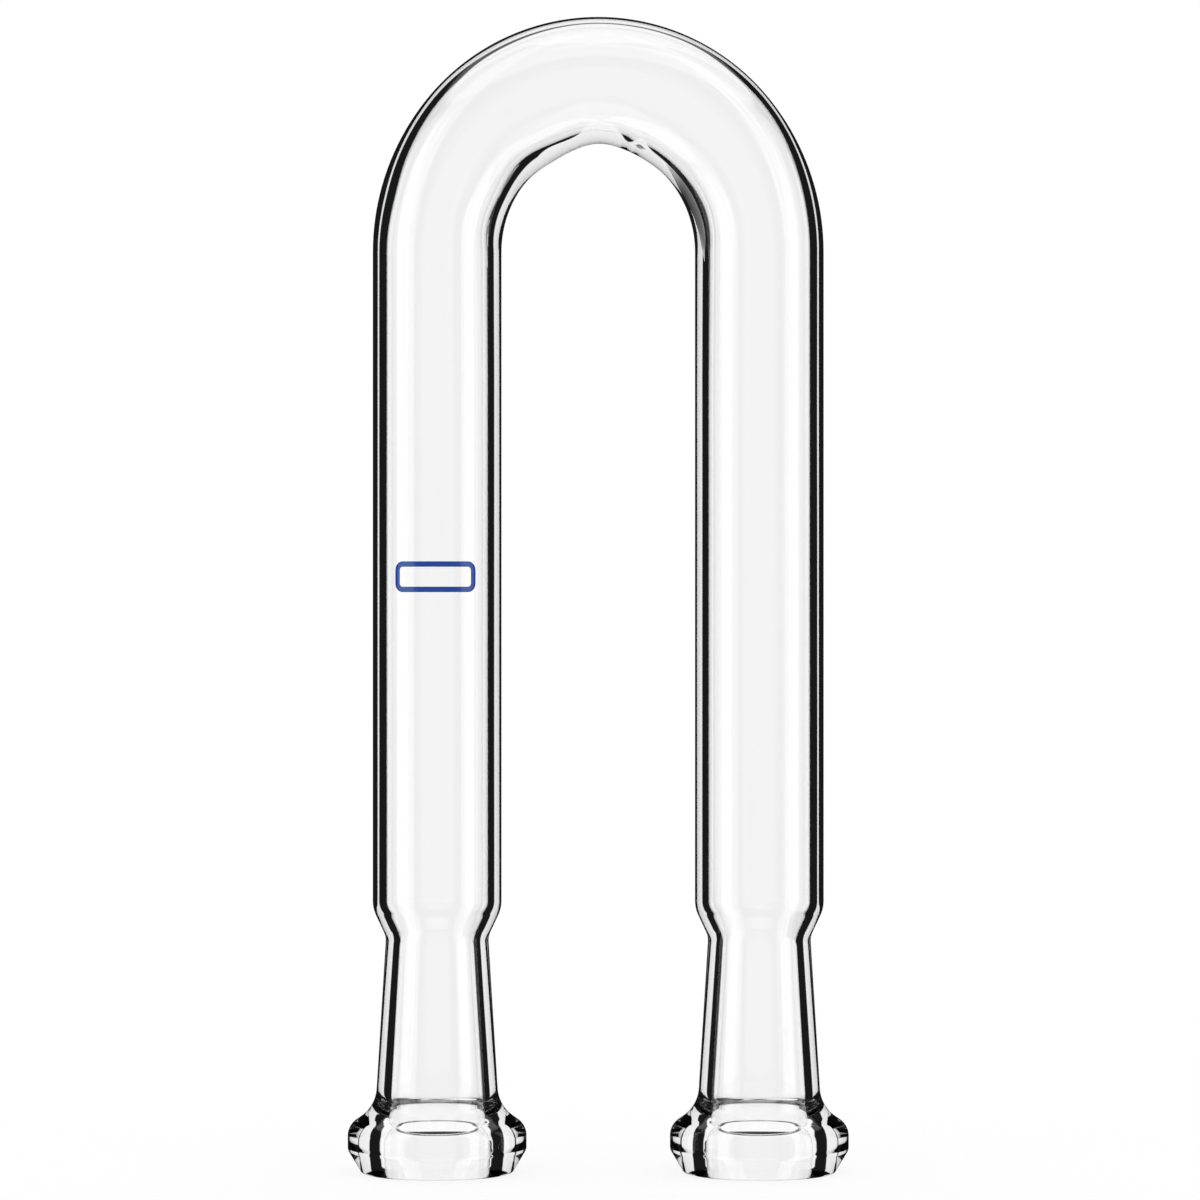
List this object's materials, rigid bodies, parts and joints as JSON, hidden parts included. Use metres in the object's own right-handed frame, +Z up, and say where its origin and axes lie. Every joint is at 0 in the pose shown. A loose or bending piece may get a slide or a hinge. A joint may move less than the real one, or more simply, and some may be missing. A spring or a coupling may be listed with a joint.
{
  "type": "drying tube",
  "caption": "U-shaped drying tube of clear glass, each leg necked in and opening downwards as a tapered socket with a thick beaded rim.",
  "frame": {"origin": "midway between the two legs, on the plane of the feet", "axes": "+Z up along the legs towards the bend, +X from the left leg to the right leg, +Y away from the viewer"},
  "size_m": [0.074, 0.0264, 0.1706],
  "materials": {
    "clear_glass": "clear, fire-polished",
    "blue_enamel": "fired-on blue marking enamel, glossy"
  },
  "bodies": {
    "root": {"u_tube": "clear_glass"}
  },
  "joints": []
}
